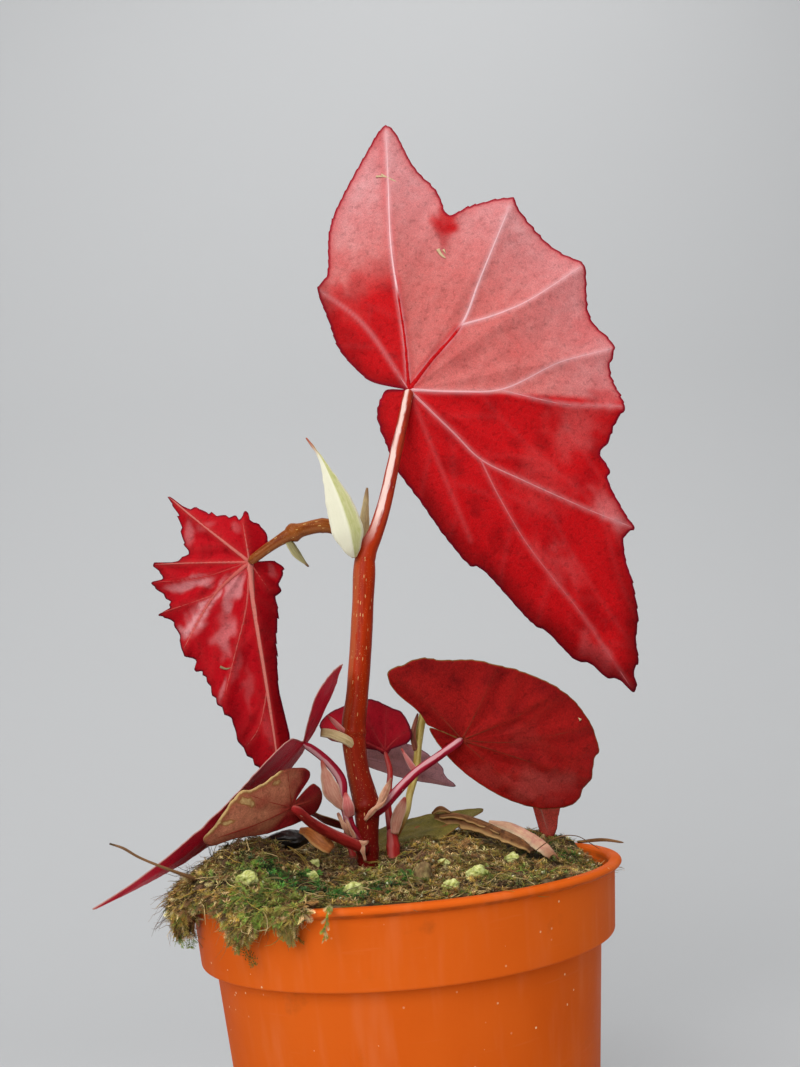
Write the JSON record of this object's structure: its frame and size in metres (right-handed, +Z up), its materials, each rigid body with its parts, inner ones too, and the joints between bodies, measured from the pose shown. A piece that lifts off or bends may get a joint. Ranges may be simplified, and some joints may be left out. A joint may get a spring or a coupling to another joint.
{
  "type": "potted begonia",
  "caption": "Young red-leaved begonia with upright cane stem, growing in moss-covered soil in a round tapered nursery pot with a rolled rim.",
  "frame": {"origin": "middle of the pot's base, on the surface that it stands on", "axes": "+Z up; -Y towards the side from which the undersides of most leaves are seen; +X to the right from there"},
  "size_m": [0.1095, 0.08, 0.2373],
  "materials": {
    "pot": "satin moulded plastic with fine scratches and dust",
    "soil": "crumbly potting soil",
    "moss": "living moss, brown-olive to green",
    "stem": "smooth orange-red stem with pale pores",
    "petiole": "smooth crimson leaf stalk with a pale sheen",
    "old_petiole": "yellowed leaf stalk",
    "red_leaf": "glossy red leaf underside",
    "dark_red_leaf": "dull dark red leaf",
    "purple_grey_leaf": "dull purple-grey leaf",
    "olive_leaf": "fading olive leaf with red flecks",
    "stipule": "papery pale yellow-green stipule",
    "pink_stipule": "papery pink-beige stipule",
    "dry_leaf": "dry brown plant matter",
    "bark": "wet black bark",
    "perlite": "chalky grains with algae"
  },
  "bodies": {
    "root": {"pot": "pot", "soil": "soil", "moss": "moss", "main_stem": "stem", "side_shoot": "stem", "left_branch": "stem", "top_leaf_blade": "red_leaf", "left_leaf_blade": "red_leaf", "right_leaf_blade": "dark_red_leaf", "edge_on_leaf_blade": "red_leaf", "dried_edge_leaf_blade": "dark_red_leaf", "small_back_leaf_blade": "red_leaf", "behind_leaf_blade": "dark_red_leaf", "grey_back_leaf_blade": "purple_grey_leaf", "old_leaf_blade": "olive_leaf", "low_leaf_blade": "dark_red_leaf", "top_leaf_petiole": "petiole", "left_leaf_petiole": "stem", "right_leaf_petiole": "petiole", "edge_on_leaf_petiole": "petiole", "dried_edge_leaf_petiole": "petiole", "small_back_leaf_petiole": "petiole", "behind_leaf_petiole": "old_petiole", "grey_back_leaf_petiole": "petiole", "old_leaf_petiole": "old_petiole", "low_leaf_petiole": "petiole", "tip_stipule": "stipule", "narrow_stipule": "stipule", "knee_stipule": "dry_leaf", "node_stub": "dry_leaf", "left_spike": "pink_stipule", "right_spike": "pink_stipule", "petiole_sheath": "dry_leaf", "left_stipule": "pink_stipule", "pink_stipule": "pink_stipule", "side_shoot_stipule": "pink_stipule", "dry_sheath": "dry_leaf", "base_sheath": "dry_leaf", "brown_stipule": "dry_leaf", "brown_curl": "dry_leaf", "pink_strip": "pink_stipule", "orange_curl": "dry_leaf", "left_twig": "dry_leaf", "right_twig": "dry_leaf", "bark_chunk": "bark", "brown_chunk": "dry_leaf", "perlite_1": "perlite", "perlite_2": "perlite", "perlite_3": "perlite", "perlite_4": "perlite", "perlite_5": "perlite", "perlite_6": "perlite", "perlite_7": "perlite", "perlite_8": "perlite", "perlite_9": "perlite"}
  },
  "joints": []
}
